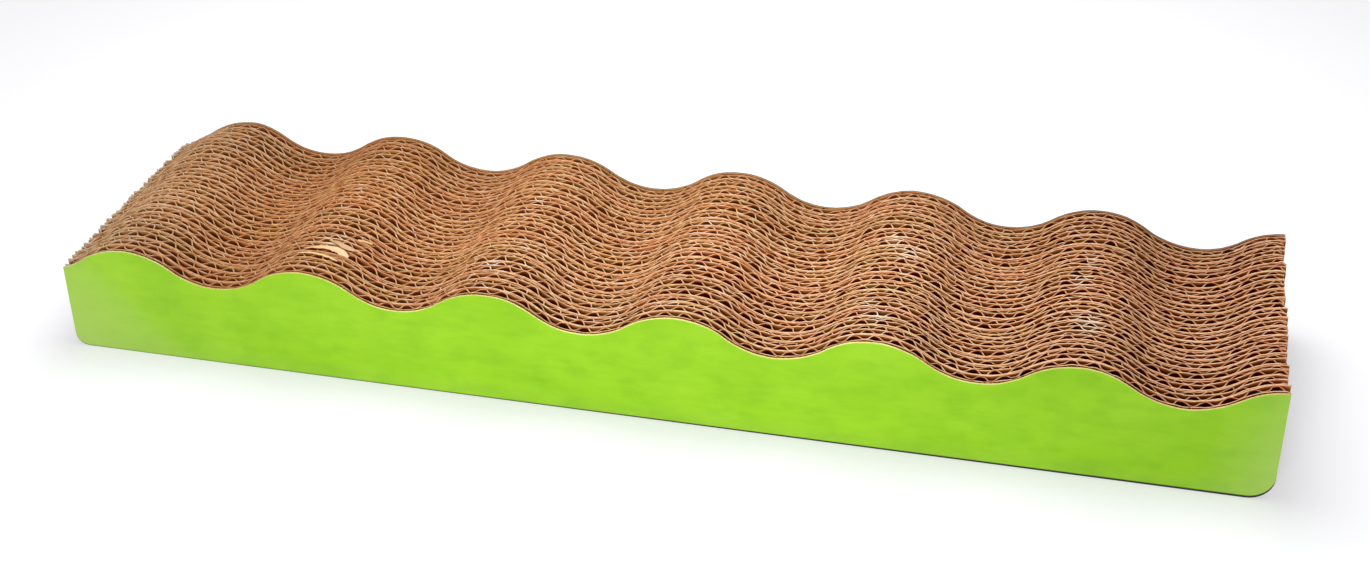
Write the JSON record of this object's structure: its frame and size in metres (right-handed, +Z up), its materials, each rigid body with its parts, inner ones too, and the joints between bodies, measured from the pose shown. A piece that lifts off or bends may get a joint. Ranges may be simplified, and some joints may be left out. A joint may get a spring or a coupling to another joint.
{
  "type": "cat scratcher",
  "caption": "Flat-bottomed cardboard cat scratcher block of corrugated strips on edge, with a wavy scratching top and lime green paper side covers",
  "frame": {"origin": "centre of the flat underside", "axes": "+X along the block's length, to the right in the picture; the front cover faces -Y; +Z up"},
  "size_m": [0.444, 0.1098, 0.0442],
  "materials": {
    "print_paper": "smooth printed paper",
    "liner": "matte kraft liner",
    "fluting": "matte kraft fluting"
  },
  "bodies": {
    "root": {"front_cover_print": "print_paper", "front_cover_e_web": "fluting", "front_cover_c_flute": "fluting", "front_cover_liner": "liner", "back_cover_print": "print_paper", "back_cover_e_web": "fluting", "back_cover_c_flute": "fluting", "back_cover_liner": "liner", "strip_01_c_web": "fluting", "strip_01_b_web": "fluting", "strip_01_back_liner": "liner", "strip_02_c_web": "fluting", "strip_02_b_web": "fluting", "strip_02_back_liner": "liner", "strip_03_c_web": "fluting", "strip_03_b_web": "fluting", "strip_03_back_liner": "liner", "strip_04_c_web": "fluting", "strip_04_b_web": "fluting", "strip_04_back_liner": "liner", "strip_05_c_web": "fluting", "strip_05_b_web": "fluting", "strip_05_back_liner": "liner", "strip_06_c_web": "fluting", "strip_06_b_web": "fluting", "strip_06_back_liner": "liner", "strip_07_c_web": "fluting", "strip_07_b_web": "fluting", "strip_07_back_liner": "liner", "strip_08_c_web": "fluting", "strip_08_b_web": "fluting", "strip_08_back_liner": "liner", "strip_09_c_web": "fluting", "strip_09_b_web": "fluting", "strip_09_back_liner": "liner", "strip_10_c_web": "fluting", "strip_10_b_web": "fluting", "strip_10_back_liner": "liner", "strip_11_c_web": "fluting", "strip_11_b_web": "fluting", "strip_11_back_liner": "liner", "strip_12_c_web": "fluting", "strip_12_b_web": "fluting", "strip_12_back_liner": "liner", "strip_13_c_web": "fluting", "strip_13_b_web": "fluting", "strip_13_back_liner": "liner", "strip_14_c_web": "fluting", "strip_14_b_web": "fluting", "strip_14_back_liner": "liner", "strip_15_c_web": "fluting", "strip_15_b_web": "fluting", "strip_15_back_liner": "liner", "strip_16_c_web": "fluting", "strip_16_b_web": "fluting", "strip_16_back_liner": "liner"}
  },
  "joints": []
}
